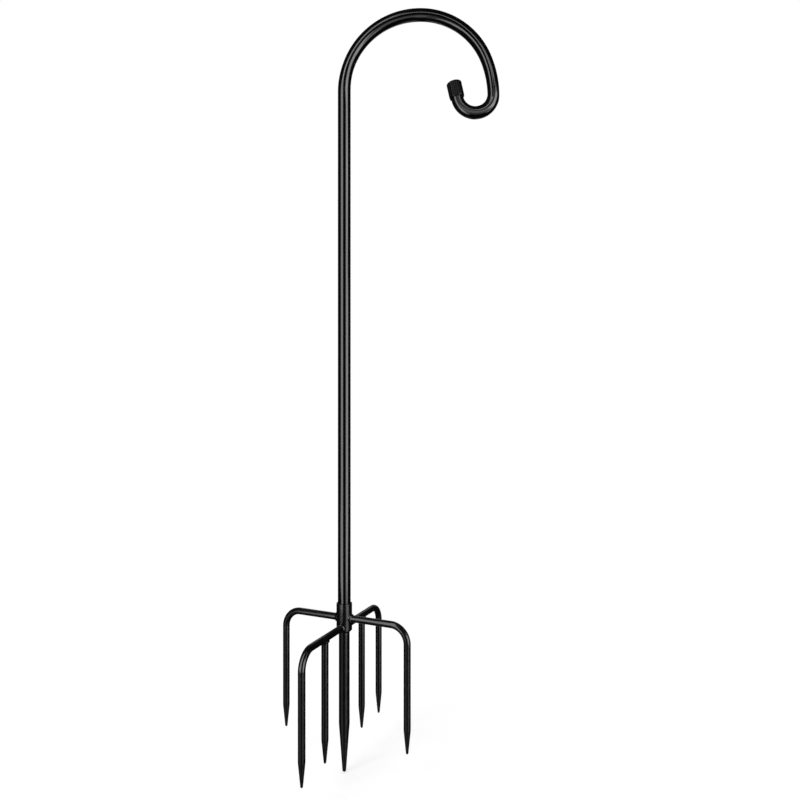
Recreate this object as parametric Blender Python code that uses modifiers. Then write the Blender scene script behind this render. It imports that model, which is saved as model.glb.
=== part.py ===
# A shepherd's hook: a steel tube bent into a crook, plugged into the collar of a welded garden fork.
# Metres, +Z up. Height zero is the ground line, the pole stands on the Z axis and the crook reaches along +X.

import math

import bmesh
import bpy
from mathutils import Vector

# Clearances
touch_gap = 0.0003               # left between pieces that touch
running_gap = 0.0003             # radial play of the pole and the pin in their bores

# Pole and crook, one tube
pole_diameter = 0.016
pole_wall = 0.0012
pole_height = 0.6716             # ground line to the first bend
arch_rise_radius = 0.095
arch_crown_radius = 0.088
arch_fall_radius = 0.122
curl_radius = 0.0228
curl_tail = 0.0008               # straight tube seen between the curl and the cap
arch_rise_sweep = 92.6           # degrees
arch_crown_sweep = 64.4
arch_fall_sweep = 21.8
curl_sweep = 168.5

# Cap on the crook's end
cap_grip = 0.0165                # length of tube inside the cap
cap_side = 0.0178                # mouth to the foot of the dome
cap_dome = 0.0034                # rise of the domed end
cap_wall = 0.0008
cap_rib = 0.0004                 # how far the ribs stand out
cap_mouth_band = 0.0008          # plain band between the mouth and the ribs
cap_rib_run_out = 0.0008         # length over which the ribs rise from the band
cap_rib_fade_power = 4           # how fast the ribs die away over the dome
cap_dimple_radius = 0.0012
cap_dimple_depth = 0.0007
cap_rib_count = 14
dome_ring_shares = (0.35, 0.6, 0.8, 0.93)

# Collar with its stepped bore
collar_diameter = 0.0195
collar_height = 0.0336
collar_chamfer = 0.0005
socket_depth = 0.022             # how deep the pole plugs in
lead_in = 0.0003                 # small chamfers at a bore's mouth and a bar's end

# Pin that joins the pole to the collar
pin_length = 0.050

# Centre spike
spike_diameter = 0.0135
spike_depth = 0.1768             # below the ground line
spike_taper = 0.0605
spike_tip_diameter = 0.0048
spike_stub = 0.006               # length inside the collar

# Bent legs and inner tines, all of one rod
rod_diameter = 0.0086
rod_bend_radius = 0.0215
upper_tine_depth = 0.1371        # below the ground line
lower_tine_depth = 0.1455
inner_tine_depth = 0.1435
tine_taper = 0.0285
tine_tip_diameter = 0.0032
tip_flat_share = 0.35            # the flat at a tip's end, as a share of its width
upper_reach = 0.0865             # pole's axis to the tine's axis
lower_reach = 0.1045
inner_reach = 0.0503
leg_level_gap = 0.0022           # clear height between the lower and the upper legs
upper_azimuth = -25.5            # degrees from +X towards +Y
lower_azimuth = 67.5

# Weld beads
bead_lip = 0.0003                # thickness that a bead thins out to
leg_bead_width = 0.0015
leg_bead_length = 0.0025
inner_bead_width = 0.0015
inner_bead_length = 0.0022
inner_bead_climb = 0.0018        # how far the bead rises beside the leg
spike_bead_width = 0.0016
spike_bead_length = 0.0020

# Fineness of round shapes
bend_error = 0.0001              # the most that a bend's chords cut inside its arc
merge_distance = 0.00001
cutter_overrun = 0.005           # how far a cutter runs past the piece that it fits
crease_angle = 35                # degrees; edges turned by more stay sharp
quarter_turn = 90                # degrees
half_turn = 180
pole_sides = 24
collar_sides = 32
rod_sides = 16
bead_sides = 24
cap_steps_per_rib = 4
tip_steps = 3
bead_steps = 3

# Half sizes and levels that follow
pole_radius = pole_diameter / 2
bore_radius = pole_radius - pole_wall
collar_radius = collar_diameter / 2
socket_radius = pole_radius + running_gap
spike_radius = spike_diameter / 2
stub_bore_radius = spike_radius + touch_gap
rod_radius = rod_diameter / 2
step_height = collar_height - socket_depth
pole_foot = step_height + touch_gap
lower_level = rod_radius
upper_level = lower_level + rod_diameter + leg_level_gap


class Path:
    """A line of runs and bends in the upright XZ plane. Headings are degrees from +X towards +Z."""

    def __init__(self, across, up, heading):
        self.points = [Vector((across, 0, up))]
        self.heading = heading

    def run(self, length):
        angle = math.radians(self.heading)
        self.points.append(self.points[-1] + Vector((math.cos(angle), 0, math.sin(angle))) * length)

    def bend(self, radius, sweep):
        """Turn clockwise, from +Z towards +X, by a sweep in degrees."""
        start = math.radians(self.heading)
        centre = self.points[-1] + Vector((math.sin(start), 0, -math.cos(start))) * radius
        largest_step = 2 * math.acos(1 - bend_error / radius)
        steps = math.ceil(math.radians(sweep) / largest_step)
        for step in range(1, steps + 1):
            angle = start - math.radians(sweep) * step / steps
            self.points.append(centre + Vector((-math.sin(angle), 0, math.cos(angle))) * radius)
        self.heading -= sweep


def clear_scene():
    for leftover in list(bpy.data.objects):
        bpy.data.objects.remove(leftover)


def new_collection(name):
    collection = bpy.data.collections.new(name)
    bpy.context.scene.collection.children.link(collection)
    return collection


def new_material(name, colour, roughness, metallic):
    material = bpy.data.materials.new(name)
    material.use_nodes = True
    shader = material.node_tree.nodes["Principled BSDF"]
    shader.inputs["Base Color"].default_value = (*colour, 1)
    shader.inputs["Roughness"].default_value = roughness
    shader.inputs["Metallic"].default_value = metallic
    return material


def new_empty(name, height, parent=None):
    empty = bpy.data.objects.new(name, None)
    empty.location = (0, 0, height)
    empty.parent = parent
    parts.objects.link(empty)
    return empty


def place_part(piece, material, parent, location=(0, 0, 0), turn=(0, 0, 0)):
    """Give a piece its material, parent and place; the turn is in degrees about X, Y and Z."""
    piece.data.materials.append(material)
    piece.parent = parent
    piece.location = location
    piece.rotation_euler = [math.radians(angle) for angle in turn]
    parts.objects.link(piece)


def settle(piece):
    """Swap a curve or a modified object for the mesh that it evaluates to, with its loose caps welded on."""
    scene_objects = bpy.context.scene.collection.objects
    scene_objects.link(piece)
    evaluated = piece.evaluated_get(bpy.context.evaluated_depsgraph_get())
    mesh = bpy.data.meshes.new_from_object(evaluated)
    mesh.name = piece.name
    welded = bmesh.new()
    welded.from_mesh(mesh)
    bmesh.ops.remove_doubles(welded, verts=welded.verts, dist=merge_distance)
    welded.to_mesh(mesh)
    welded.free()
    mesh.shade_smooth()
    mesh.set_sharp_from_angle(angle=math.radians(crease_angle))
    name = piece.name
    matrix = piece.matrix_world.copy()
    bpy.data.objects.remove(piece)
    settled = bpy.data.objects.new(name, mesh)
    settled.matrix_world = matrix
    return settled


def round_bar(name, points, radius, sides, capped=True, taper_shares=None):
    """A round bar or tube skin along the points; a taper share scales its radius at each point."""
    curve = bpy.data.curves.new(name, "CURVE")
    curve.dimensions = "3D"
    curve.bevel_depth = radius
    curve.bevel_resolution = (sides - 4) // 2
    curve.use_fill_caps = capped
    spline = curve.splines.new("POLY")
    spline.points.add(len(points) - 1)
    for index, point in enumerate(points):
        spline.points[index].co = (*point, 1)
        if taper_shares:
            spline.points[index].radius = taper_shares[index]
    return settle(bpy.data.objects.new(name, curve))


def turned(name, profile, sides, closed=False):
    """A shape turned about Z from (radius, height) points that run down its outer side."""
    mesh = bpy.data.meshes.new(name)
    edges = [(index, index + 1) for index in range(len(profile) - 1)]
    if closed:
        edges.append((len(profile) - 1, 0))
    mesh.from_pydata([(radius, 0, height) for radius, height in profile], edges, [])
    piece = bpy.data.objects.new(name, mesh)
    screw = piece.modifiers.new("Turn", "SCREW")
    screw.steps = sides
    screw.render_steps = sides
    screw.use_merge_vertices = True
    screw.merge_threshold = merge_distance
    screw.use_smooth_shade = True
    return piece


def round_cutter(name, radius, low, high, turn=(0, 0, 0)):
    """A plain cylinder about its own Z, from low to high, to cut with."""
    cutter = turned(name, [(0, high), (radius, high), (radius, low), (0, low)], collar_sides)
    cutter.rotation_euler = [math.radians(angle) for angle in turn]
    cutter.hide_render = True
    cutter.display_type = "WIRE"
    cutters.objects.link(cutter)
    return cutter


def cut_away(piece, cutter):
    boolean = piece.modifiers.new("Fit to " + cutter.name, "BOOLEAN")
    boolean.operation = "DIFFERENCE"
    boolean.object = cutter


def blunt_tip(depth, tip_radius):
    """(radius, height) rings of a rounded tip, from its widest down to the small flat at its end."""
    last_angle = math.acos(tip_flat_share)
    rings = []
    for step in range(tip_steps + 1):
        angle = last_angle * step / tip_steps
        height = tip_radius * (1 - math.sin(angle) / math.sin(last_angle)) - depth
        rings.append((tip_radius * math.cos(angle), height))
    return rings


def pointed_rod(name, path, depth):
    """A rod along a path that ends heading straight down, carried on to a tapered blunt tip."""
    across = path.points[-1].x
    points = path.points + [Vector((across, 0, tine_taper - depth))]
    taper_shares = [1] * len(points)
    for radius, height in blunt_tip(depth, tine_tip_diameter / 2):
        points.append(Vector((across, 0, height)))
        taper_shares.append(radius / rod_radius)
    return round_bar(name, points, rod_radius, rod_sides, taper_shares=taper_shares)


def weld_bead(name, inner_radius, width, length, climb):
    """A rounded ring about Z that stands on height zero, and goes below it by the climb."""
    profile = []
    for step in range(bead_steps + 1):
        angle = math.radians(quarter_turn) * step / bead_steps
        radius = inner_radius + bead_lip + (width - bead_lip) * math.sin(angle)
        profile.append((radius, length * math.cos(angle)))
    if climb:
        profile.append((inner_radius + width, -climb))
    profile.append((inner_radius, -climb))
    profile.append((inner_radius, length))
    return turned(name, profile, bead_sides, closed=True)


def make_hook_pole():
    """The tube from its foot in the collar, up and round the crook, into the cap. Returns the cap's place."""
    path = Path(0, 0, quarter_turn)
    path.run(pole_height - pole_foot)
    path.bend(arch_rise_radius, arch_rise_sweep)
    path.bend(arch_crown_radius, arch_crown_sweep)
    path.bend(arch_fall_radius, arch_fall_sweep)
    path.bend(curl_radius, curl_sweep)
    path.run(curl_tail)
    cap_mouth = path.points[-1].copy()
    path.run(cap_grip)
    tube = round_bar("hook_pole", path.points, pole_radius, pole_sides, capped=False)
    wall = tube.modifiers.new("Wall", "SOLIDIFY")
    wall.thickness = pole_wall
    wall.offset = -1
    wall.use_even_offset = True
    place_part(tube, gloss_black, pole_seat)
    return cap_mouth, path.heading


def raise_ribs(cap, foot_radius):
    """Push the outer skin of the cap out into ribs that fade over the dome and stop short of the mouth."""
    for vertex in cap.data.vertices:
        radius = math.hypot(vertex.co.x, vertex.co.y)
        on_side = vertex.co.z > cap_mouth_band + merge_distance and radius > foot_radius - cap_wall / 2
        on_dome = vertex.co.z > cap_side
        if not (on_side or on_dome):
            continue
        around = math.atan2(vertex.co.y, vertex.co.x)
        height = cap_rib * (1 + math.cos(cap_rib_count * around)) / 2
        fade = (radius / foot_radius) ** cap_rib_fade_power
        vertex.co.x += math.cos(around) * height * fade
        vertex.co.y += math.sin(around) * height * fade


def make_end_cap(mouth, heading):
    """A ribbed cup about its own Z, mouth at zero, with a domed and dimpled end."""
    inner_radius = pole_radius + touch_gap
    foot_radius = inner_radius + cap_wall
    cap_top = cap_side + cap_dome
    profile = [(0, cap_top - cap_dimple_depth), (cap_dimple_radius, cap_top)]
    for share in dome_ring_shares:
        profile.append((foot_radius * share, cap_side + cap_dome * math.sqrt(1 - share * share)))
    profile += [(foot_radius, cap_side),
                (foot_radius, cap_mouth_band + cap_rib_run_out),
                (foot_radius, cap_mouth_band),
                (foot_radius, 0),
                (inner_radius, 0),
                (inner_radius, cap_grip + touch_gap),
                (0, cap_grip + touch_gap)]
    cap = settle(turned("hook_end_cap", profile, cap_rib_count * cap_steps_per_rib))
    raise_ribs(cap, foot_radius)
    place_part(cap, black_rubber, pole_seat, location=mouth, turn=(0, quarter_turn - heading, 0))


def make_joining_pin():
    """A chamfered dowel that stands on the spike's stub and reaches up into the tube."""
    pin_radius = bore_radius - running_gap
    foot = spike_stub + touch_gap
    top = foot + pin_length
    profile = [(0, top),
               (pin_radius - lead_in, top),
               (pin_radius, top - lead_in),
               (pin_radius, foot + lead_in),
               (pin_radius - lead_in, foot),
               (0, foot)]
    place_part(turned("joining_pin", profile, pole_sides), plain_steel, swivel_axis)


def make_socket_collar():
    """A sleeve with a wide bore for the pole above and a narrower one for the spike's stub below."""
    profile = [(collar_radius - collar_chamfer, collar_height),
               (collar_radius, collar_height - collar_chamfer),
               (collar_radius, collar_chamfer),
               (collar_radius - collar_chamfer, 0),
               (stub_bore_radius, 0),
               (stub_bore_radius, step_height),
               (socket_radius, step_height),
               (socket_radius, collar_height - lead_in),
               (socket_radius + lead_in, collar_height)]
    place_part(turned("socket_collar", profile, collar_sides, closed=True), satin_black, fork_frame)


def make_centre_spike():
    """The thick tapered spike, with its stub in the collar and a bead under the collar's rim."""
    profile = [(0, spike_stub),
               (spike_radius - lead_in, spike_stub),
               (spike_radius, spike_stub - lead_in),
               (spike_radius, spike_taper - spike_depth)]
    profile += blunt_tip(spike_depth, spike_tip_diameter / 2)
    profile.append((0, -spike_depth))
    place_part(turned("centre_spike", profile, pole_sides), satin_black, fork_frame)
    bead = weld_bead("weld_spike", stub_bore_radius, spike_bead_width, spike_bead_length, 0)
    place_part(bead, satin_black, fork_frame, location=(0, 0, -touch_gap), turn=(half_turn, 0, 0))


def make_leg(side, azimuth, reach, level, depth, collar_cutter):
    """A bent leg that butts against the collar, and its weld bead."""
    path = Path(collar_radius / 2, level, 0)
    path.run(reach - rod_bend_radius - collar_radius / 2)
    path.bend(rod_bend_radius, quarter_turn)
    leg = pointed_rod("leg_" + side, path, depth)
    cut_away(leg, collar_cutter)
    place_part(leg, satin_black, fork_frame, turn=(0, 0, azimuth))

    seat = collar_radius + touch_gap
    inner_radius = rod_radius + touch_gap
    outer_radius = inner_radius + leg_bead_width
    saddle_depth = seat - math.sqrt(seat * seat - outer_radius * outer_radius)
    bead = weld_bead("weld_leg_" + side, inner_radius, leg_bead_width, leg_bead_length, saddle_depth + bead_lip)
    cut_away(bead, collar_cutter)
    angle = math.radians(azimuth)
    foot = (seat * math.cos(angle), seat * math.sin(angle), level)
    place_part(bead, satin_black, fork_frame, location=foot, turn=(0, quarter_turn, azimuth))


def make_inner_tine(side, azimuth, leg_cutter):
    """A straight tine that hangs under a lower leg, and its weld bead."""
    angle = math.radians(azimuth)
    foot = Vector((inner_reach * math.cos(angle), inner_reach * math.sin(angle), 0))
    tine = pointed_rod("inner_tine_" + side, Path(0, lower_level, -quarter_turn), inner_tine_depth)
    cut_away(tine, leg_cutter)
    place_part(tine, satin_black, fork_frame, location=foot, turn=(0, 0, azimuth))

    bead = weld_bead("weld_inner_" + side, rod_radius + touch_gap, inner_bead_width, inner_bead_length,
                     inner_bead_climb)
    cut_away(bead, leg_cutter)
    under_leg = Vector((0, 0, lower_level - rod_radius - touch_gap))
    place_part(bead, satin_black, fork_frame, location=foot + under_leg, turn=(half_turn, 0, azimuth))


def make_fork():
    """The welded base: collar, spike, two pairs of legs at two levels, and the inner tines."""
    make_socket_collar()
    make_centre_spike()
    collar_cutter = round_cutter("collar_cutter", collar_radius + touch_gap, -cutter_overrun,
                                 collar_height + cutter_overrun)
    upper = (upper_reach, upper_level, upper_tine_depth, collar_cutter)
    lower = (lower_reach, lower_level, lower_tine_depth, collar_cutter)
    make_leg("right", upper_azimuth, *upper)
    make_leg("left", upper_azimuth + half_turn, *upper)
    make_leg("back", lower_azimuth, *lower)
    make_leg("front", lower_azimuth + half_turn, *lower)
    leg_cutter = round_cutter("lower_leg_cutter", rod_radius + touch_gap, -lower_reach, lower_reach,
                              turn=(0, quarter_turn, lower_azimuth))
    leg_cutter.location.z = lower_level
    make_inner_tine("back", lower_azimuth, leg_cutter)
    make_inner_tine("front", lower_azimuth + half_turn, leg_cutter)


clear_scene()
parts = new_collection("shepherds_hook")
cutters = new_collection("cutters")
fork_frame = new_empty("fork_frame", 0)
swivel_axis = new_empty("swivel_axis", 0, fork_frame)
pole_seat = new_empty("pole_seat", pole_foot, swivel_axis)

gloss_black = new_material("gloss_black_paint", (0.012, 0.012, 0.013), 0.22, 0)
satin_black = new_material("satin_black_paint", (0.020, 0.020, 0.021), 0.42, 0)
black_rubber = new_material("ribbed_black_rubber", (0.022, 0.022, 0.022), 0.75, 0)
plain_steel = new_material("plain_steel", (0.55, 0.55, 0.56), 0.35, 1)

make_fork()
make_joining_pin()
cap_mouth, cap_heading = make_hook_pole()
make_end_cap(cap_mouth, cap_heading)
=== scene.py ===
import math

import bmesh
import bpy
from mathutils import Matrix, Vector, noise


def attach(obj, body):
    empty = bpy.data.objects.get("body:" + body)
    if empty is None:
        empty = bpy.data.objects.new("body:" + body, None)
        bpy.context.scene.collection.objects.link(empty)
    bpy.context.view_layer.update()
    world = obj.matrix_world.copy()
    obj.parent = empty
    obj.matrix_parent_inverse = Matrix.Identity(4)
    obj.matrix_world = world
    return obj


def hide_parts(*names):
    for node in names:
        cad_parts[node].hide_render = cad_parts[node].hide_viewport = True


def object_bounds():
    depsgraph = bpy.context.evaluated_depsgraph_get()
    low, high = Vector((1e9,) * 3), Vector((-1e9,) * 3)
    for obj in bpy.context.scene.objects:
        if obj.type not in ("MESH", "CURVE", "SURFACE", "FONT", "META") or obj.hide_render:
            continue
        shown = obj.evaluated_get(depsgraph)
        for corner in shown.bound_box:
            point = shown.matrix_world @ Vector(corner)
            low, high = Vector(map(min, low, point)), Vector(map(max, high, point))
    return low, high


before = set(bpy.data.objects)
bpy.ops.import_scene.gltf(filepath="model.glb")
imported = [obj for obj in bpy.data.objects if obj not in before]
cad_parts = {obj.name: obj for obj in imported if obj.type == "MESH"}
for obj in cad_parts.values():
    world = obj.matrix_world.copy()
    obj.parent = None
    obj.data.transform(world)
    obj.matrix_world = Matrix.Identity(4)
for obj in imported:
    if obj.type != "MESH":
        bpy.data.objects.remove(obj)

# A shepherd's hook: a glossy bent tube with a ribbed rubber cap, plugged into a satin black welded fork.
# Metres, +Z up. The ground line is at height zero and the crook reaches along +X.

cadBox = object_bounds()
print("frame loaded,", len(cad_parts), "nodes")


# Directions, in degrees: a heading turns from +X towards +Z, an azimuth from +X towards +Y

def ahead(heading):
    angle = math.radians(heading)
    return Vector((math.cos(angle), 0, math.sin(angle)))


def rightOf(heading):
    angle = math.radians(heading)
    return Vector((math.sin(angle), 0, -math.cos(angle)))


def facing(point, heading):
    # takes what stands along +Z to a point, where it lies along the heading
    return Matrix.Translation(point) @ Matrix.Rotation(math.radians(90 - heading), 4, "Y")


def alongAzimuth(azimuth, reach, level=0):
    angle = math.radians(azimuth)
    return Vector((math.cos(angle) * reach, math.sin(angle) * reach, level))


def turnedAbout(azimuth, angle, axis):
    return Matrix.Rotation(math.radians(azimuth), 4, "Z") @ Matrix.Rotation(math.radians(angle), 4, axis)


def outward(vert):
    # away from the Z axis
    return Vector((vert.co.x, vert.co.y, 0)).normalized()


def spokeTo(vert, centre):
    # from a bend's centre to the vert, within the plane of the bend
    return Vector((vert.co.x - centre.x, 0, vert.co.z - centre.z))


# Shader maths

class Wire:
    # an output socket that takes part in plain arithmetic

    def __init__(self, graph, socket):
        self.graph = graph
        self.socket = socket

    def maths(self, operation, other=0):
        return self.graph.maths(operation, self, other)

    def __add__(self, other):
        return self.graph.maths("ADD", self, other)

    def __radd__(self, other):
        return self.graph.maths("ADD", other, self)

    def __sub__(self, other):
        return self.graph.maths("SUBTRACT", self, other)

    def __rsub__(self, other):
        return self.graph.maths("SUBTRACT", other, self)

    def __mul__(self, other):
        return self.graph.maths("MULTIPLY", self, other)

    def __rmul__(self, other):
        return self.graph.maths("MULTIPLY", other, self)

    def atLeast(self, other):
        return self.graph.maths("MAXIMUM", self, other)

    def atMost(self, other):
        return self.graph.maths("MINIMUM", self, other)


class Graph:
    # the node tree of a material or of the world

    def __init__(self, tree):
        self.tree = tree

    def add(self, kind, settings=None, sockets=None, output=0):
        node = self.tree.nodes.new(kind)
        for name, value in (settings or {}).items():
            if name == "stops":
                self.setStops(node.color_ramp, value)
            else:
                setattr(node, name, value)
        self.feed(node, sockets or {})
        return Wire(self, node.outputs[output])

    def setStops(self, ramp, stops):
        for element, (position, level) in zip(ramp.elements, stops):
            element.position = position
            element.color = (level, level, level, 1)

    def feed(self, node, sockets):
        for name, value in sockets.items():
            socket = node.inputs[name]
            if isinstance(value, Wire):
                self.tree.links.new(value.socket, socket)
            elif socket.type == "RGBA" and len(value) == 3:
                socket.default_value = (*value, 1)
            else:
                socket.default_value = value

    def maths(self, operation, first, second):
        return self.add("ShaderNodeMath", {"operation": operation}, {0: first, 1: second})

    def blend(self, share, first, second):
        # by number, because the mixed kinds of value share their sockets' names
        return self.add("ShaderNodeMix", {"data_type": "RGBA"}, {0: share, 6: first, 7: second}, 2)

    def place(self):
        return self.add("ShaderNodeTexCoord", output="Object")

    def part(self, vector, axis):
        return self.add("ShaderNodeSeparateXYZ", {}, {"Vector": vector}, axis)

    def stretch(self, place, scale):
        return self.add("ShaderNodeMapping", {}, {"Vector": place, "Scale": scale})

    def lightPath(self, kind):
        return self.add("ShaderNodeLightPath", output=kind)

    def noise(self, place, scale, detail=2, roughness=0.5, edges=None):
        # with edges it makes patches: 0 up to the first edge and 1 from the second on
        sockets = {"Vector": place, "Scale": scale, "Detail": detail, "Roughness": roughness}
        cloud = self.add("ShaderNodeTexNoise", {}, sockets)
        if edges is None:
            return cloud
        low, high = edges
        return self.add("ShaderNodeValToRGB", {"stops": ((low, 0), (high, 1))}, {"Fac": cloud})

    def band(self, value, low, high):
        # rises from 0 at low to 1 at high
        return self.add("ShaderNodeMapRange", {"interpolation_type": "SMOOTHSTEP"},
                        {"Value": value, "From Min": low, "From Max": high})

    def below(self, value, level, fade):
        # 1 under the level and 0 over it; fade says how far under and over it the change reaches
        under, over = fade
        return 1 - self.band(value, level - under, level + over)

    def window(self, value, span, soft):
        # 1 inside the span and 0 outside it, with soft edges
        low, high = span
        opening = self.band(value, low - soft, low + soft)
        return opening * self.below(value, high, (soft, soft))

    def bump(self, relief, depth, normal=None):
        sockets = {"Height": relief, "Distance": depth, "Strength": 1.0}
        if normal:
            sockets["Normal"] = normal
        return self.add("ShaderNodeBump", {}, sockets)


def newMaterial(name, look):
    # a Principled material, whose ior and mirror are the same all over
    material = bpy.data.materials.new(name)
    material.use_nodes = True
    graph = Graph(material.node_tree)
    shader = material.node_tree.nodes["Principled BSDF"]
    graph.feed(shader, {"IOR": look["ior"], "Specular IOR Level": look["mirror"]})
    return material, graph, shader


# Gloss paint of the tube

glossLook = {
    "ior": 1.5,
    "mirror": 0.5,
    "black": (0.0022, 0.0022, 0.0023),
    "dusty": (0.0040, 0.0040, 0.0040),
    "wearAndPaintedShade": (0.30, 0.29, 0.28),
    "roughness": 0.09,
    "peel": {"scale": 520, "roughness": 0.4},     # orange peel, about 2 mm across
    "peelDepth": 0.0000030,
    "dust": {"scale": 35, "detail": 4, "roughness": 0.6, "edges": (0.45, 0.75)},
    "dustShare": 0.5,
    "dustRoughness": 0.05,
    "grit": {"scale": 2600, "edges": (0.70, 0.76)},
    "gritShare": 0.3,
    "socketTop": 0.0336,          # the tube is scuffed below this, inside the collar
    "socketFade": (0.003, 0.0005),
    "scuff": {"scale": 900, "detail": 3, "roughness": 0.6, "edges": (0.50, 0.62)},
    "scuffStretch": (1, 1, 0.06),
    "scuffShare": 0.55,
    "footEdge": 0.0129,           # and chipped below this, at its cut foot
    "footFade": (0.0012, 0.0004),
    "chips": {"scale": 700, "detail": 3, "edges": (0.36, 0.5)},
    "wornMetal": 0.8,
    "wornRoughness": 0.25,
}


def makeGlossPaint():
    look = glossLook
    material, graph, shader = newMaterial("tubeGlossPaint", look)
    place = graph.place()
    height = graph.part(place, "Z")
    dust = graph.noise(place, **look["dust"])
    grit = graph.noise(place, **look["grit"])
    inSocket = graph.below(height, look["socketTop"], look["socketFade"])
    atEdge = graph.below(height, look["footEdge"], look["footFade"])
    lines = graph.noise(graph.stretch(place, look["scuffStretch"]), **look["scuff"])
    scuff = inSocket * lines * look["scuffShare"]
    worn = (scuff + atEdge * graph.noise(place, **look["chips"])).atMost(1)
    colour = graph.blend(dust * look["dustShare"] + grit * look["gritShare"], look["black"], look["dusty"])
    colour = graph.blend(worn, colour, look["wearAndPaintedShade"])
    roughness = look["roughness"] + dust * look["dustRoughness"] + worn * look["wornRoughness"]
    peel = graph.noise(place, **look["peel"])
    graph.feed(shader, {"Base Color": colour,
                        "Metallic": worn * look["wornMetal"],
                        "Roughness": roughness,
                        "Normal": graph.bump(peel, look["peelDepth"])})
    return material


# Satin paint of the fork

satinLook = {
    "ior": 1.5,
    "mirror": 0.5,
    "black": (0.0030, 0.0030, 0.0031),
    "thin": (0.0060, 0.0060, 0.0061),
    "bare": (0.34, 0.33, 0.32),
    "roughness": 0.20,
    "grain": {"scale": 1500, "detail": 3, "roughness": 0.55},     # powder coat, about 0.7 mm across
    "grainDepth": 0.0000016,
    "grainShare": 0.2,
    "grainGloss": 0.05,
    "wave": {"scale": 260},
    "waveDepth": 0.0000045,
    "patches": {"scale": 60, "detail": 4, "roughness": 0.6, "edges": (0.35, 0.7)},
    "patchShare": 0.5,
    "patchRoughness": 0.07,
    "specks": {"scale": 1900, "edges": (0.74, 0.78)},
    "speckShare": 0.06,
}

# over the weld beads the coat is a little glossier and more pitted
weldLook = {
    "extraRoughness": -0.06,
    "pitting": 1.8,
}


def makeSatinPaint(name, extraRoughness=0.0, pitting=1.0):
    look = satinLook
    material, graph, shader = newMaterial(name, look)
    place = graph.place()
    patches = graph.noise(place, **look["patches"])
    grain = graph.noise(place, **look["grain"])
    wave = graph.noise(place, **look["wave"])
    specks = graph.noise(place, **look["specks"])
    thinned = patches * look["patchShare"] + grain * look["grainShare"]
    colour = graph.blend(thinned, look["black"], look["thin"])
    colour = graph.blend(specks * look["speckShare"], colour, look["bare"])
    roughness = look["roughness"] + extraRoughness + patches * look["patchRoughness"]
    relief = graph.bump(wave, look["waveDepth"] * pitting)
    relief = graph.bump(grain, look["grainDepth"] * pitting, relief)
    graph.feed(shader, {"Base Color": colour,
                        "Roughness": roughness - grain * look["grainGloss"],
                        "Normal": relief})
    return material


# Rubber of the end cap

rubberLook = {
    "ior": 1.5,
    "mirror": 0.10,
    "dark": (0.0014, 0.0014, 0.0014),
    "bloom": (0.0035, 0.0035, 0.0036),
    "crest": (0.0075, 0.0075, 0.0076),     # painted shade: the grooves are painted darker than the ribs' tops
    "crestWidth": (0.60, 0.92),
    "crestShare": 0.55,
    "crestBloom": 0.3,
    "crestGloss": 0.06,
    "roughness": 0.20,
    "patches": {"scale": 300, "detail": 4, "roughness": 0.65, "edges": (0.4, 0.72)},
    "patchShare": 0.7,
    "patchRoughness": 0.08,
    "grain": {"scale": 2600, "detail": 3, "roughness": 0.6},
    "grainDepth": 0.0000025,
    "grainRoughness": 0.04,
}


def makeRubber(mouth, heading, ribs):
    # mouth and heading place the cap's axis, about which the ribs are counted
    look = rubberLook
    material, graph, shader = newMaterial("capRubber", look)
    place = graph.place()
    inward = rightOf(heading)
    fromAxis = graph.add("ShaderNodeVectorMath", {"operation": "SUBTRACT"}, {0: place, 1: mouth})
    across = graph.add("ShaderNodeVectorMath", {"operation": "DOT_PRODUCT"}, {0: fromAxis, 1: inward},
                       "Value")
    around = graph.part(place, "Y").maths("ARCTAN2", across)
    wave = (around * (ribs / 2)).maths("COSINE").maths("ABSOLUTE")
    crest = graph.band(wave, *look["crestWidth"])
    bloom = graph.noise(place, **look["patches"])
    grain = graph.noise(place, **look["grain"])
    colour = graph.blend(bloom * look["patchShare"], look["dark"], look["bloom"])
    # painted shade: the rib tops take the paler colour, so the grooves look shaded
    wearAndPaintedShade = crest * (look["crestShare"] + bloom * look["crestBloom"])
    colour = graph.blend(wearAndPaintedShade, colour, look["crest"])
    roughness = look["roughness"] + bloom * look["patchRoughness"] + grain * look["grainRoughness"]
    graph.feed(shader, {"Base Color": colour,
                        "Roughness": roughness - crest * look["crestGloss"],
                        "Normal": graph.bump(grain, look["grainDepth"])})
    return material


# Turned steel of the joining pin

steelLook = {
    "ior": 1.5,
    "mirror": 0.5,
    "bright": (0.56, 0.55, 0.53),
    "dull": (0.36, 0.34, 0.32),
    "stain": (0.16, 0.10, 0.06),
    "roughness": 0.28,
    "turning": {"scale": 9000, "roughness": 0.6},
    "turningStretch": (0.02, 0.02, 1),
    "turningDepth": 0.000006,
    "turningShare": 0.5,
    "turningRoughness": 0.08,
    "smears": {"scale": 160, "detail": 4, "roughness": 0.6, "edges": (0.4, 0.68)},
    "smearShare": 0.4,
    "smearRoughness": 0.14,
    "spots": {"scale": 520, "detail": 3, "roughness": 0.55, "edges": (0.66, 0.74)},
    "spotShare": 0.5,
    "spotRust": 0.6,
    "spotRoughness": 0.2,
}


def makeTurnedSteel():
    look = steelLook
    material, graph, shader = newMaterial("pinTurnedSteel", look)
    place = graph.place()
    turning = graph.noise(graph.stretch(place, look["turningStretch"]), **look["turning"])
    smears = graph.noise(place, **look["smears"])
    spots = graph.noise(place, **look["spots"])
    dulled = turning * look["turningShare"] + smears * look["smearShare"]
    colour = graph.blend(dulled, look["bright"], look["dull"])
    colour = graph.blend(spots * look["spotShare"], colour, look["stain"])
    roughness = look["roughness"] + smears * look["smearRoughness"] + turning * look["turningRoughness"]
    graph.feed(shader, {"Base Color": colour,
                        "Metallic": 1 - spots * look["spotRust"],
                        "Roughness": roughness + spots * look["spotRoughness"],
                        "Normal": graph.bump(turning, look["turningDepth"])})
    return material


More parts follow.
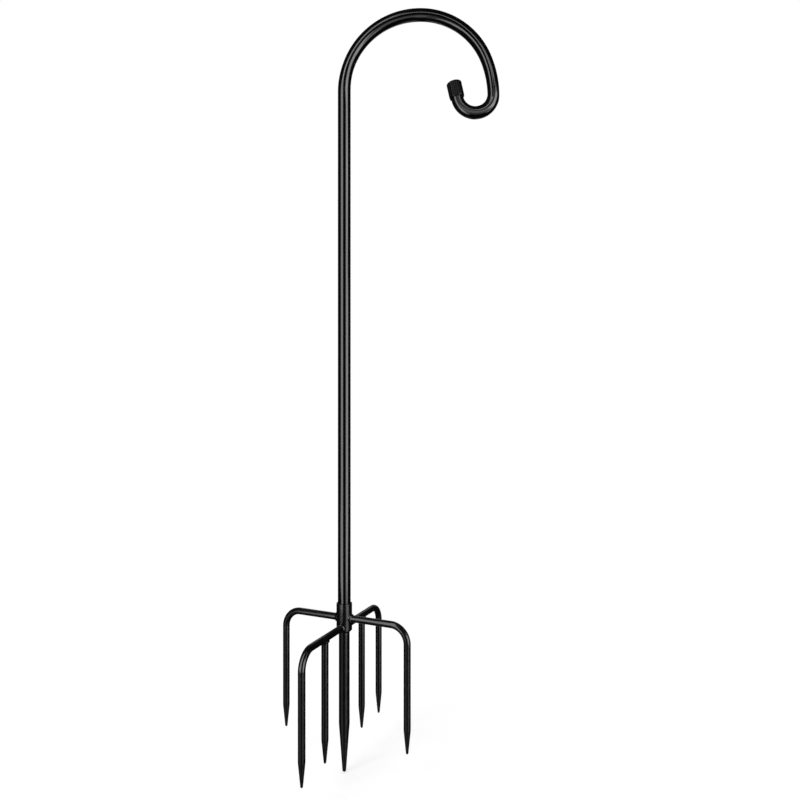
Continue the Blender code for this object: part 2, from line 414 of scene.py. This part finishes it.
glossPaint = makeGlossPaint()
satinPaint = makeSatinPaint("forkSatinPaint")
weldPaint = makeSatinPaint("weldSatinPaint", **weldLook)
turnedSteel = makeTurnedSteel()
print("materials made")


# Ways to build a piece

making = {
    "mergeGap": 0.000001,         # points this near to each other are one
    "rimMargin": 0.0001,
    "rimSegments": 4,
    "squeezeEasing": 20,          # degrees of bend over which the tube's squeeze sets in
    "crease": 40,                 # degrees from which an edge stays sharp
    "faceWeight": 80,
}


def edgesAmong(verts):
    kept = set(verts)
    edges = {edge for vert in verts for edge in vert.link_edges}
    return [edge for edge in edges if edge.verts[0] in kept and edge.verts[1] in kept]


def onlyVerts(geometry):
    return [item for item in geometry if isinstance(item, bmesh.types.BMVert)]


class Sweep:
    # draws a ring of edges along runs and bends in the upright plane of +X

    def __init__(self, bm, radius, sides, start, heading):
        self.bm = bm
        self.radius = radius
        self.point = Vector(start)
        self.heading = heading
        self.flatten = 0.0
        made = bmesh.ops.create_circle(bm, segments=sides, radius=radius, matrix=facing(self.point, heading))
        self.ring = edgesAmong(made["verts"])

    def close(self):
        bmesh.ops.edgeloop_fill(self.bm, edges=self.ring)

    def run(self, length, radius=None):
        # straight on, to a new radius where one is given
        made = bmesh.ops.extrude_edge_only(self.bm, edges=self.ring)
        verts = onlyVerts(made["geom"])
        self.ring = edgesAmong(verts)
        bmesh.ops.translate(self.bm, verts=verts, vec=ahead(self.heading) * length)
        self.point += ahead(self.heading) * length
        if radius is not None:
            share = radius / self.radius
            bmesh.ops.scale(self.bm, verts=verts, vec=(share, share, share),
                            space=Matrix.Translation(-self.point))
            self.radius = radius

    def bend(self, radius, sweep, step, flatten=0.0):
        # clockwise, from +Z towards +X; flatten is the share by which the bend squeezes the tube
        centre = self.point + rightOf(self.heading) * radius
        before = set(self.bm.verts)
        made = bmesh.ops.spin(self.bm, geom=self.ring, cent=centre, axis=(0, 1, 0), angle=math.radians(sweep),
                              steps=math.ceil(sweep / step))
        self.ring = edgesAmong(onlyVerts(made["geom_last"]))
        entry = self.point - centre
        for vert in set(self.bm.verts) - before:
            reached = min(math.degrees(spokeTo(vert, centre).angle(entry)) / making["squeezeEasing"], 1)
            reached = reached * reached * (3 - 2 * reached)
            flattened = self.flatten + (flatten - self.flatten) * reached
            squeezeBend(vert, centre, radius, 1 - (1 - flattened) / (1 - self.flatten))
        self.flatten = flatten
        self.point = centre + Matrix.Rotation(math.radians(sweep), 3, "Y") @ entry
        self.heading -= sweep


def squeezeBend(vert, centre, radius, flatten):
    # a bent tube goes slightly oval: narrower across the bend, wider along its axis
    spoke = spokeTo(vert, centre)
    offset = spoke.length - radius
    spoke.normalize()
    place = centre + spoke * (radius + offset * (1 - flatten))
    vert.co = (place.x, vert.co.y * (1 + flatten / 2), place.z)


def lathe(bm, profile, sides):
    # turns (radius, height) points about Z
    verts = [bm.verts.new((radius, 0, height)) for radius, height in profile]
    edges = [bm.edges.new(pair) for pair in zip(verts, verts[1:])]
    bmesh.ops.spin(bm, geom=verts + edges, cent=(0, 0, 0), axis=(0, 0, 1), angle=2 * math.pi, steps=sides,
                   use_merge=True)
    cleanUp(bm)


def closedLathe(bm, profile, sides):
    lathe(bm, profile + [profile[0]], sides)


def cleanUp(bm):
    bmesh.ops.remove_doubles(bm, verts=bm.verts, dist=making["mergeGap"])
    bmesh.ops.recalc_face_normals(bm, faces=bm.faces)


def roundEdges(bm, edges, width, segments):
    bmesh.ops.bevel(bm, geom=edges, offset=width, offset_type="OFFSET", segments=segments, profile=0.5,
                    affect="EDGES", material=-1)


def softenRims(bm, heights, width, radiusRange):
    # rounds the edges that run round at one of these heights, with a radius in the range
    def same(first, second):
        return abs(first - second) < making["mergeGap"]

    def isRim(edge):
        first, second = edge.verts
        reach = first.co.xy.length
        level = same(first.co.z, second.co.z) and same(reach, second.co.xy.length)
        onHeight = any(same(first.co.z, height) for height in heights)
        return level and onHeight and radiusRange[0] <= reach <= radiusRange[1]

    roundEdges(bm, [edge for edge in bm.edges if isRim(edge)], width, making["rimSegments"])


def aroundRadius(radius):
    return radius - making["rimMargin"], radius + making["rimMargin"]


def addObject(bm, name, material):
    mesh = bpy.data.meshes.new(name)
    bm.to_mesh(mesh)
    bm.free()
    mesh.materials.append(material)
    made = bpy.data.objects.new(name, mesh)
    bpy.context.scene.collection.objects.link(made)
    return made


def finishPiece(bm, name, material, slot, body, *nodes, crease=making["crease"]):
    cleanUp(bm)
    piece = addObject(bm, name, material)
    piece.data.shade_smooth()
    piece.data.set_sharp_from_angle(angle=math.radians(crease))
    # a long face keeps its own normal beside a narrow bevel
    weighted = piece.modifiers.new("weightedNormals", "WEIGHTED_NORMAL")
    weighted.keep_sharp = True
    weighted.weight = making["faceWeight"]
    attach(piece, body)
    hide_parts(*nodes)


# Tube of the pole and crook

tube = {
    "radius": 0.008,
    "wall": 0.0012,
    "foot": 0.0119,
    "straightTop": 0.6716,
    # each bend's radius, its degrees and the share by which it is flattened
    "bends": ((0.095, 92.6, 0.07), (0.088, 64.4, 0.08), (0.122, 21.8, 0.07), (0.0228, 168.5, 0.03)),
    "tail": 0.0008,
    "grip": 0.0165,
    "sides": 96,
    "bendStep": 2.0,              # degrees
    "endBreak": 0.00015,          # the cut ends' broken edges
    "breakSegments": 3,
}


def sweepTube(bm, radius):
    path = Sweep(bm, radius, tube["sides"], (0, 0, tube["foot"]), 90)
    firstRing = path.ring
    path.run(tube["straightTop"] - tube["foot"])
    for bendRadius, sweep, flatten in tube["bends"]:
        path.bend(bendRadius, sweep, tube["bendStep"], flatten)
    path.run(tube["tail"])
    mouth = path.point.copy()
    path.run(tube["grip"])
    return firstRing, path.ring, mouth, path.heading


def makeTube():
    bm = bmesh.new()
    outerFoot, outerEnd, mouth, heading = sweepTube(bm, tube["radius"])
    innerFoot, innerEnd, _, _ = sweepTube(bm, tube["radius"] - tube["wall"])
    bmesh.ops.bridge_loops(bm, edges=outerFoot + innerFoot)
    bmesh.ops.bridge_loops(bm, edges=outerEnd + innerEnd)
    roundEdges(bm, outerFoot + innerFoot + outerEnd, tube["endBreak"], tube["breakSegments"])
    finishPiece(bm, "crook_tube", glossPaint, "gloss_black_paint", "crook", "hook_pole")
    return mouth, heading


capMouth, capHeading = makeTube()
print("tube made")


# Ribbed rubber cap

cap = {
    "bore": 0.00802,
    "footRadius": 0.0091,
    "side": 0.0178,
    "sideSteps": 10,
    "dome": 0.0034,
    "domeSteps": 12,
    "grip": 0.0168,
    "band": 0.0008,
    "runOut": 0.0010,             # the ribs end over this length above the plain band
    "runOutSteps": 4,
    "rib": 0.0004,
    "ribs": 14,
    "stepsPerRib": 12,
    "grooveSharpness": 1.5,
    "domeFade": 3,
    "dimpleRadius": 0.0012,
    "dimpleDepth": 0.0007,
    "dimpleSteps": 4,
    "lipRadius": 0.00035,
    "boreMargin": 0.0001,
}


def capProfile():
    # down from the dimple over the dome and the side, and up again inside
    top = cap["side"] + cap["dome"]
    bandTop = cap["band"] + cap["runOut"]
    points = []
    for step in range(cap["dimpleSteps"]):
        share = step / cap["dimpleSteps"]
        points.append((cap["dimpleRadius"] * share, top - cap["dimpleDepth"] * (1 - share * share)))
    for step in range(cap["domeSteps"] + 1):
        angle = math.radians(90) * step / cap["domeSteps"]
        radius = cap["dimpleRadius"] + (cap["footRadius"] - cap["dimpleRadius"]) * math.sin(angle)
        points.append((radius, cap["side"] + cap["dome"] * math.cos(angle)))
    for step in range(1, cap["sideSteps"] + 1):
        points.append((cap["footRadius"], cap["side"] + (bandTop - cap["side"]) * step / cap["sideSteps"]))
    for step in range(1, cap["runOutSteps"] + 1):
        points.append((cap["footRadius"], bandTop - cap["runOut"] * step / cap["runOutSteps"]))
    points += [(cap["footRadius"], 0), (cap["bore"], 0), (cap["bore"], cap["grip"]), (0, cap["grip"])]
    return points


def ribHeight(vert):
    # rounded ribs with narrow grooves, which fade over the dome and towards the mouth
    around = math.atan2(vert.co.y, vert.co.x)
    wave = abs(math.cos(cap["ribs"] * around / 2))
    fromMouth = min(max((vert.co.z - cap["band"]) / cap["runOut"], 0), 1)
    fade = fromMouth * min(vert.co.xy.length / cap["footRadius"], 1) ** cap["domeFade"]
    return cap["rib"] * fade * (1 - (1 - wave) ** cap["grooveSharpness"])


def makeCap(mouth, heading):
    bm = bmesh.new()
    lathe(bm, capProfile(), cap["ribs"] * cap["stepsPerRib"])
    # the range ends right on the two radii, so only some of the mouth's edges fall in it
    softenRims(bm, (0,), cap["lipRadius"], (cap["bore"], cap["footRadius"]))
    middleOfWall = (cap["bore"] + cap["footRadius"]) / 2
    for vert in bm.verts:
        reach = vert.co.xy.length
        onSkin = vert.co.z > cap["grip"] + cap["boreMargin"] or reach > middleOfWall
        if onSkin and reach > cap["dimpleRadius"]:
            vert.co += outward(vert) * ribHeight(vert)
    bmesh.ops.transform(bm, matrix=facing(mouth, heading), verts=bm.verts)
    finishPiece(bm, "ribbed_end_cap", capRubber, "ribbed_black_rubber", "crook", "hook_end_cap", crease=60)


capRubber = makeRubber(capMouth, capHeading, cap["ribs"])
makeCap(capMouth, capHeading)
print("cap made")


# Collar

collar = {
    "radius": 0.00975,
    "height": 0.0336,
    "socketRadius": 0.0083,
    "stepHeight": 0.0116,
    "stubBore": 0.00705,
    "rimRadius": 0.0004,
    "mouthRadius": 0.00025,
    "sides": 128,
}


def makeCollar():
    bm = bmesh.new()
    profile = [(collar["radius"], collar["height"]),
               (collar["radius"], 0),
               (collar["stubBore"], 0),
               (collar["stubBore"], collar["stepHeight"]),
               (collar["socketRadius"], collar["stepHeight"]),
               (collar["socketRadius"], collar["height"])]
    closedLathe(bm, profile, collar["sides"])
    softenRims(bm, (0, collar["height"]), collar["rimRadius"], aroundRadius(collar["radius"]))
    softenRims(bm, (collar["height"],), collar["mouthRadius"], aroundRadius(collar["socketRadius"]))
    finishPiece(bm, "collar_sleeve", satinPaint, "satin_black_paint", "fork", "socket_collar")


makeCollar()
print("collar made")


# Spike, bent legs and inner tines

spike = {
    "radius": 0.00675,
    "top": 0.006,
    "depth": 0.1768,
    "taper": 0.0605,
    "tipRadius": 0.0024,
    "sides": 96,
}

rod = {
    "radius": 0.0043,
    "bendRadius": 0.0215,
    "upperDepth": 0.1371,
    "lowerDepth": 0.1455,
    "innerDepth": 0.1435,
    "taper": 0.0285,
    "tipRadius": 0.0016,
    "upperReach": 0.0865,
    "lowerReach": 0.1045,
    "innerReach": 0.0503,
    "lowerLevel": 0.0043,
    "upperLevel": 0.0151,
    "upperAzimuth": -25.5,
    "lowerAzimuth": 67.5,
    "intoCollar": 0.0005,
    "sides": 72,
    "bendStep": 2.5,              # degrees
}

point = {
    "shoulder": 0.003,            # length over which the taper sets in
    "shoulderSteps": 5,
    "tipStretch": 1.1,            # the round tip's length against its radius
    "tipSteps": 7,
    "flatShare": 0.35,            # the flat's radius at the very end, against the tip's
}


def drawPoint(path, taper, depth, tipRadius):
    # from the rod's full width at the taper's start down to the blunt tip
    path.run(path.point.z - (taper - depth) - point["shoulder"] / 2)
    startRadius = path.radius
    slope = (startRadius - tipRadius) / taper
    for step in range(1, point["shoulderSteps"] + 1):
        share = step / point["shoulderSteps"]
        narrowing = slope * point["shoulder"] / 2 * share * share
        path.run(point["shoulder"] / point["shoulderSteps"], startRadius - narrowing)
    lastAngle = math.acos(point["flatShare"])
    tipLength = tipRadius * point["tipStretch"]
    path.run(path.point.z + depth - tipLength, tipRadius)
    for step in range(1, point["tipSteps"] + 1):
        angle = lastAngle * step / point["tipSteps"]
        reached = tipLength * math.sin(angle) / math.sin(lastAngle)
        path.run(path.point.z + depth - tipLength + reached, tipRadius * math.cos(angle))
    path.close()


def makeSpike():
    bm = bmesh.new()
    path = Sweep(bm, spike["radius"], spike["sides"], (0, 0, spike["top"]), -90)
    path.close()
    drawPoint(path, spike["taper"], spike["depth"], spike["tipRadius"])
    finishPiece(bm, "ground_spike", satinPaint, "satin_black_paint", "fork", "centre_spike")


def makeLeg(side, azimuth, reach, level, depth):
    bm = bmesh.new()
    start = collar["radius"] - rod["intoCollar"]
    path = Sweep(bm, rod["radius"], rod["sides"], (start, 0, level), 0)
    path.close()
    path.run(reach - rod["bendRadius"] - start)
    path.bend(rod["bendRadius"], 90, rod["bendStep"])
    drawPoint(path, rod["taper"], depth, rod["tipRadius"])
    turn = Matrix.Rotation(math.radians(azimuth), 3, "Z")
    bmesh.ops.rotate(bm, cent=(0, 0, 0), matrix=turn, verts=bm.verts)
    finishPiece(bm, "bent_leg_" + side, satinPaint, "satin_black_paint", "fork", "leg_" + side)


def makeInnerTine(side, azimuth):
    bm = bmesh.new()
    path = Sweep(bm, rod["radius"], rod["sides"], (0, 0, rod["lowerLevel"]), -90)
    path.close()
    drawPoint(path, rod["taper"], rod["innerDepth"], rod["tipRadius"])
    bmesh.ops.translate(bm, vec=alongAzimuth(azimuth, rod["innerReach"]), verts=bm.verts)
    finishPiece(bm, "straight_tine_" + side, satinPaint, "satin_black_paint", "fork", "inner_tine_" + side)


upper = (rod["upperReach"], rod["upperLevel"], rod["upperDepth"])
lower = (rod["lowerReach"], rod["lowerLevel"], rod["lowerDepth"])
legPlaces = (("right", rod["upperAzimuth"], *upper),
             ("left", rod["upperAzimuth"] + 180, *upper),
             ("back", rod["lowerAzimuth"], *lower),
             ("front", rod["lowerAzimuth"] + 180, *lower))
innerPlaces = (("back", rod["lowerAzimuth"]),
               ("front", rod["lowerAzimuth"] + 180))

makeSpike()
for place in legPlaces:
    makeLeg(*place)
for place in innerPlaces:
    makeInnerTine(*place)
print("spike, legs and tines made")


# Weld beads

weld = {
    "legSize": (0.0015, 0.0025),       # how far a bead spreads from its bar, and how far it climbs it
    "innerSize": (0.0015, 0.0022),
    "spikeSize": (0.0016, 0.0020),
    "innerClimb": 0.0018,         # how far an inner tine's bead climbs the sides of its leg
    "sides": 120,
    "rows": 9,
    "sink": 0.0004,               # how far a bead goes into what it joins
    "ripple": 0.00009,
    "rippleMiddle": 0.6,          # the share of a ripple's height that lies below the smooth bead
    "rippleLean": 1.3,
    "rippleLength": 0.0016,       # from one ripple to the next round the bead
    "lump": 0.00028,
    "lumpScale": 420,
    # where in the noise each bead's lumps come from
    "legSeeds": (0, 7.3, 14.6, 21.9),
    "innerSeeds": (31.7, 36.8),
    "spikeSeed": 57.1,
}


def onCollar(across):
    # how far the collar falls away beside the middle of a leg
    return collar["radius"] - math.sqrt(collar["radius"] ** 2 - across ** 2)


def onLeg(across):
    fall = rod["radius"] - math.sqrt(max(rod["radius"] ** 2 - across ** 2, 0))
    return min(fall, weld["innerClimb"])


def onFlat(across):
    return 0


def makeBead(spot, barRadius, size, seat, place, seed):
    # a rippled fillet round a bar about Z, which stands on the seat's surface
    bm = bmesh.new()
    width, length = size
    inner = barRadius - weld["sink"]
    profile = [(inner, -weld["sink"]), (barRadius + width, -weld["sink"])]
    for row in range(weld["rows"] + 1):
        angle = math.radians(90) * row / weld["rows"]
        profile.append((barRadius + width * math.cos(angle), length * math.sin(angle)))
    profile.append((inner, length))
    closedLathe(bm, profile, weld["sides"])
    ripples = round(2 * math.pi * (barRadius + width / 2) / weld["rippleLength"])
    for vert in bm.verts:
        beyond = vert.co.xy.length - barRadius
        if vert.co.z > -weld["sink"] / 2 and beyond > -weld["sink"] / 2:
            around = math.atan2(vert.co.y, vert.co.x)
            lean = outward(vert) * max(beyond, 0) / width + Vector((0, 0, vert.co.z / length))
            phase = ripples * around / 2 + weld["rippleLean"] * vert.co.z / length
            height = weld["ripple"] * (abs(math.sin(phase)) - weld["rippleMiddle"])
            height += weld["lump"] * noise.noise(vert.co * weld["lumpScale"] + Vector((seed, 0, 0)))
            vert.co += lean.normalized() * height
        vert.co.z -= seat(min(abs(vert.co.y), barRadius + width))
    bmesh.ops.transform(bm, matrix=place, verts=bm.verts)
    finishPiece(bm, "bead_" + spot, weldPaint, "satin_black_paint", "fork", "weld_" + spot, crease=70)


for (side, azimuth, _, level, _), seed in zip(legPlaces, weld["legSeeds"]):
    foot = Matrix.Translation(alongAzimuth(azimuth, collar["radius"], level))
    place = foot @ turnedAbout(azimuth, 90, "Y")
    makeBead("leg_" + side, rod["radius"], weld["legSize"], onCollar, place, seed)
for (side, azimuth), seed in zip(innerPlaces, weld["innerSeeds"]):
    foot = Matrix.Translation(alongAzimuth(azimuth, rod["innerReach"]))
    place = foot @ turnedAbout(azimuth, 180, "X")
    makeBead("inner_" + side, rod["radius"], weld["innerSize"], onLeg, place, seed)
makeBead("spike", spike["radius"], weld["spikeSize"], onFlat, turnedAbout(0, 180, "X"), weld["spikeSeed"])
print("weld beads made")


# Joining pin

pin = {
    "radius": 0.0065,
    "foot": 0.0063,
    "length": 0.050,
    "chamfer": 0.0006,
    "centreHole": 0.0012,
    "sides": 128,
}


def makePin():
    bm = bmesh.new()
    top = pin["foot"] + pin["length"]
    profile = [(0, top - pin["centreHole"]),
               (pin["centreHole"], top),
               (pin["radius"] - pin["chamfer"], top),
               (pin["radius"], top - pin["chamfer"]),
               (pin["radius"], pin["foot"] + pin["chamfer"]),
               (pin["radius"] - pin["chamfer"], pin["foot"]),
               (0, pin["foot"])]
    lathe(bm, profile, pin["sides"])
    finishPiece(bm, "turned_pin", turnedSteel, "plain_steel", "pin", "joining_pin", crease=30)


makePin()
print("pin made")


# Floor, backdrop and lamps

studio = {
    "floorRadius": 0.7,
    "floorSides": 96,
    "floorDrop": 0.0004,
    "floorColour": (0.80, 0.80, 0.80),
    "floorMottle": (0.86, 0.86, 0.86),
    "mottle": {"scale": 8, "detail": 3},
    "mottleShare": 0.5,
    "floorWhite": 0.30,           # how much of the floor's look is plain white for the camera
    "floorGlow": 1.80,            # makes up for the rest, so that the lit floor is white
    "ambient": 0.70,
    "darkRoom": 0.003,
    "backdrop": 0.90,
    "backdropReach": (0.996, 0.999),
    "softEdge": 3.0,              # degrees
}

# what the paint mirrors from far off: degrees of turn from the front and of rise
mirroredGlow = {
    "right": {"turn": (33, 70), "rise": (-15.5, 24.5), "level": 5.4},
    "lowLeft": {"turn": (-64, -24), "rise": (-38, -17), "level": 0.50},
    "lowRight": {"turn": (22, 68), "rise": (-38, -17), "level": 0.50},
    "backLeft": {"turn": (-174, -159), "rise": (-14, 45), "level": 0.9},
    "backRight": {"turn": (159, 174), "rise": (-14, 45), "level": 0.9},
    "lowBackLeft": {"turn": (-175, -160), "rise": (-45, -18), "level": 0.5},
    "lowBackRight": {"turn": (160, 175), "rise": (-45, -18), "level": 0.5},
}


def makeFloorPaint():
    # a pale surface that takes the object's shadow, and partly plain white to the camera
    material = bpy.data.materials.new("floorPale")
    material.use_nodes = True
    nodes = material.node_tree.nodes
    nodes.remove(nodes["Principled BSDF"])
    graph = Graph(material.node_tree)
    mottle = graph.noise(graph.place(), **studio["mottle"])
    colour = graph.blend(mottle * studio["mottleShare"], studio["floorColour"], studio["floorMottle"])
    plain = graph.add("ShaderNodeBsdfDiffuse", {}, {"Color": colour})
    white = graph.add("ShaderNodeEmission", {}, {"Color": (1, 1, 1), "Strength": studio["floorGlow"]})
    share = graph.lightPath("Is Camera Ray") * studio["floorWhite"]
    mixed = graph.add("ShaderNodeMixShader", {}, {0: share, 1: plain, 2: white})
    graph.feed(nodes["Material Output"], {"Surface": mixed})
    return material


def makeFloor():
    bm = bmesh.new()
    level = cadBox[0].z - studio["floorDrop"]
    bmesh.ops.create_circle(bm, cap_ends=True, segments=studio["floorSides"], radius=studio["floorRadius"],
                            matrix=Matrix.Translation((0, 0, level)))
    floor = addObject(bm, "floor", makeFloorPaint())
    floor.visible_glossy = False


def makeWorld():
    # white to the camera and plain soft light all round; the paint mirrors a dark room
    world = bpy.data.worlds.new("studio")
    bpy.context.scene.world = world
    world.use_nodes = True
    graph = Graph(world.node_tree)
    seen = graph.lightPath("Is Camera Ray")
    mirror = (graph.lightPath("Is Glossy Ray") + graph.lightPath("Is Transmission Ray")).atMost(1)
    rest = (1 - seen - mirror).atLeast(0)
    direction = graph.add("ShaderNodeTexCoord", output="Generated")
    back = graph.part(direction, "Y")
    turn = graph.part(direction, "X").maths("ARCTAN2", back * -1) * math.degrees(1)
    rise = graph.part(direction, "Z").maths("ARCSINE") * math.degrees(1)
    mirrored = graph.band(back, *studio["backdropReach"]) * studio["backdrop"] + studio["darkRoom"]
    for glow in mirroredGlow.values():
        shape = graph.window(turn, glow["turn"], studio["softEdge"])
        mirrored += shape * graph.window(rise, glow["rise"], studio["softEdge"]) * glow["level"]
    strength = seen + mirror * mirrored + rest * studio["ambient"]
    graph.feed(world.node_tree.nodes["Background"], {"Color": (1, 1, 1), "Strength": strength})


keyPanel = {
    "place": (-0.9, -1.2, 1.7),
    "aim": (0.05, 0, 0.3),
    "size": (1.0, 1.0),
    "level": 5.0,
}

# a lamp that only the paint's mirror sees, below the crown
underCrown = {
    "place": (0, -0.12, 0.52),
    "aim": (0, -0.12, 1),
    "size": (0.24, 0.20),
    "level": 0.6,
}

# softboxes that only the paint's mirror sees, upright in front of the hook
softboxes = {
    "leftStrip": {"near": 0.3, "across": (-0.47, -0.10), "up": (-0.075, 0.90), "level": 4.3},
    "leftFoot": {"near": 0.3, "across": (-0.60, -0.47), "up": (-0.10, 0.06), "level": 4.4},
    "rightWing": {"near": 0.3, "across": (0.80, 1.25), "up": (-0.10, 0.60), "level": 4.5},
    "topBox": {"near": 0.3, "across": (-0.25, 0.07), "up": (0.86, 0.96), "level": 4.5},
    "crownBox": {"near": 0.3, "across": (0.13, 0.20), "up": (0.80, 0.86), "level": 4.2},
    "crownLeft": {"near": 0.3, "across": (0.08, 0.13), "up": (0.815, 0.86), "level": 4.2},
    "fallBox": {"near": 0.3, "across": (0.22, 0.40), "up": (0.83, 0.90), "level": 3.5},
    "curlBelow": {"near": 0.09, "across": (0.09, 0.30), "up": (0.52, 0.602), "level": 0.55},
    "curlBox": {"near": 0.09, "across": (0.09, 0.30), "up": (0.602, 0.654), "level": 1.8},
    "curlAbove": {"near": 0.09, "across": (0.09, 0.30), "up": (0.654, 0.705), "level": 0.7},
}


def makePanel(name, panel, mirroredOnly):
    # a rectangular lamp, whose radiance is its level
    width, height = panel["size"]
    light = bpy.data.lights.new(name, "AREA")
    light.shape = "RECTANGLE"
    light.size = width
    light.size_y = height
    light.energy = panel["level"] * math.pi * width * height
    lamp = bpy.data.objects.new(name, light)
    lamp.location = panel["place"]
    aim = Vector(panel["aim"]) - Vector(panel["place"])
    lamp.rotation_euler = aim.to_track_quat("-Z", "Y").to_euler()
    lamp.visible_camera = False
    lamp.visible_glossy = mirroredOnly
    lamp.visible_diffuse = not mirroredOnly
    bpy.context.scene.collection.objects.link(lamp)


def makeSoftbox(name, box):
    left, right = box["across"]
    bottom, top = box["up"]
    across = (left + right) / 2
    up = (bottom + top) / 2
    panel = {
        "place": (across, -box["near"], up),
        "aim": (across, 0, up),
        "size": (right - left, top - bottom),
        "level": box["level"],
    }
    makePanel(name, panel, True)


makeFloor()
makeWorld()
makePanel("keyPanel", keyPanel, False)
makePanel("underCrown", underCrown, True)
for name, box in softboxes.items():
    makeSoftbox(name, box)
print("studio made")


# Camera

view = {
    "place": (0.0695, -0.898, 0.2864),
    "turn": (90, 0, 0),           # level, towards +Y
    "lens": 32.4,
    "sensor": 36,
}

camera = bpy.data.objects.new("camera", bpy.data.cameras.new("camera"))
camera.data.lens = view["lens"]
camera.data.sensor_width = view["sensor"]
camera.location = view["place"]
camera.rotation_euler = [math.radians(angle) for angle in view["turn"]]
bpy.context.scene.collection.objects.link(camera)
bpy.context.scene.camera = camera
bpy.context.scene.view_settings.view_transform = "Standard"
